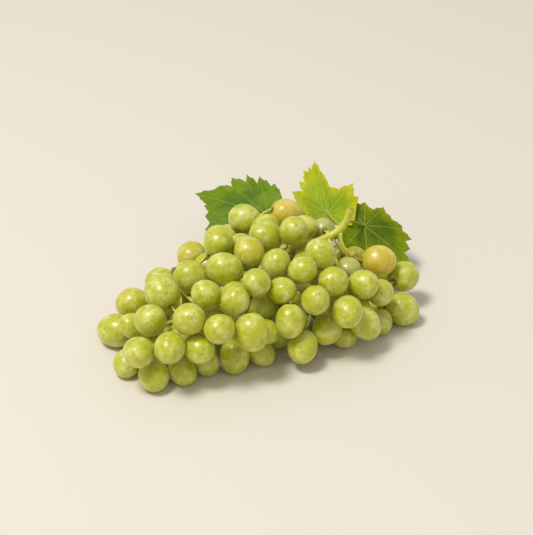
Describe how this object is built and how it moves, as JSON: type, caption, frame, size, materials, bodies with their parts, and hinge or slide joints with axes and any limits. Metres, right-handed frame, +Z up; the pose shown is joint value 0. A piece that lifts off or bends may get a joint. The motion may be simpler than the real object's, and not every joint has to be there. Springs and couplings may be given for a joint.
{
  "type": "bunch of grapes",
  "caption": "Lying bunch of pale green oval table grapes on a branching woody stem, with toothed vine leaves behind the cut end.",
  "frame": {"origin": "on the surface that the bunch rests on, under the middle of its bounding box", "axes": "+X runs from the tip of the bunch to its cut stem end, +Y to the leaves behind, +Z up"},
  "size_m": [0.218, 0.2092, 0.0777],
  "materials": {
    "berry": "thin waxy skin, softly glossy, slightly see-through",
    "stem": "green woody stalk, brown at the joints, dull",
    "leaf": "thin veined leaf, half gloss above and dull below"
  },
  "bodies": {
    "root": {"stem": "stem", "leaf_left": "leaf", "leaf_middle": "leaf", "leaf_right": "leaf", "berry_tip_1": "berry", "berry_tip_2": "berry", "berry_tip_3": "berry", "berry_tip_4": "berry", "berry_tip_5": "berry", "berry_low_left_1": "berry", "berry_low_left_2": "berry", "berry_low_left_3": "berry", "berry_low_left_4": "berry", "berry_left_1": "berry", "berry_left_2": "berry", "berry_front_1": "berry", "berry_front_2": "berry", "berry_front_3": "berry", "berry_front_4": "berry", "berry_front_5": "berry", "berry_crown_1": "berry", "berry_crown_2": "berry", "berry_crown_3": "berry", "berry_crown_4": "berry", "berry_crown_5": "berry", "berry_crown_6": "berry", "berry_back_1": "berry", "berry_back_2": "berry", "berry_back_3": "berry", "berry_top_1": "berry", "berry_top_2": "berry", "berry_front_right_1": "berry", "berry_front_right_2": "berry", "berry_front_right_3": "berry", "berry_shoulder_1": "berry", "berry_shoulder_2": "berry", "berry_shoulder_3": "berry", "berry_shoulder_4": "berry", "berry_shoulder_5": "berry", "berry_shoulder_6": "berry", "berry_stem_end_1": "berry", "berry_stem_end_2": "berry", "berry_stem_end_3": "berry", "berry_stem_side_1": "berry", "berry_stem_back_1": "berry", "berry_cluster_1": "berry", "berry_cluster_2": "berry", "berry_cluster_3": "berry", "berry_left_5": "berry", "berry_cluster_4": "berry", "berry_cluster_5": "berry", "berry_cluster_6": "berry", "berry_cluster_7": "berry", "berry_front_right_6": "berry", "berry_cluster_8": "berry", "berry_front_right_5": "berry", "berry_shoulder_7": "berry", "berry_stem_side_4": "berry"}
  },
  "joints": []
}
